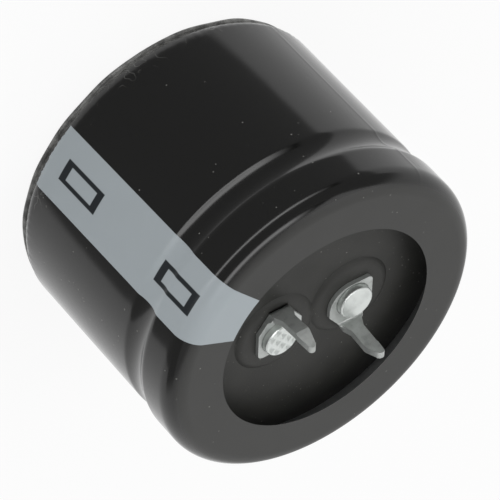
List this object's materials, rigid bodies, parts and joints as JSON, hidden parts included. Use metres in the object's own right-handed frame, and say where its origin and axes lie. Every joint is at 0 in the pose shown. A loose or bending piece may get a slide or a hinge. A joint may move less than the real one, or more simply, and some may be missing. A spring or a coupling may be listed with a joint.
{
  "type": "can capacitor",
  "caption": "Squat aluminium can capacitor in a dark film sleeve, with a grey polarity stripe and snap-in leads on a recessed rubber header.",
  "frame": {"origin": "centre of the lowest face, where the film lies under the closed end of the can", "axes": "+Z along the can's axis from the closed end to the leads; +X through both rivets towards the negative one; +Y away from the side of the negative lead"},
  "size_m": [0.0358, 0.0358, 0.0308],
  "materials": {
    "can_metal": "drawn, satin",
    "sleeve_film": "glossy shrunk film",
    "disc_card": "matte",
    "header_rubber": "matte",
    "header_board": "matte laminate",
    "rivet_metal": "pressed, bright",
    "lead_metal": "tinned, satin",
    "washer_metal": "pressed",
    "tab_foil": "rolled foil",
    "winding": "wound foil and damp paper",
    "winding_tape": "adhesive tape",
    "stripe_print": "printed"
  },
  "bodies": {
    "root": {"can": "can_metal", "sleeve": "sleeve_film", "end_disc": "disc_card", "header_rubber": "header_rubber", "header_board": "header_board", "negative_rivet": "rivet_metal", "positive_rivet": "rivet_metal", "negative_terminal": "lead_metal", "positive_terminal": "lead_metal", "negative_washer": "washer_metal", "positive_washer": "washer_metal", "negative_tab": "tab_foil", "positive_tab": "tab_foil", "wound_element": "winding", "winding_tape": "winding_tape", "polarity_stripe": "stripe_print"}
  },
  "joints": []
}
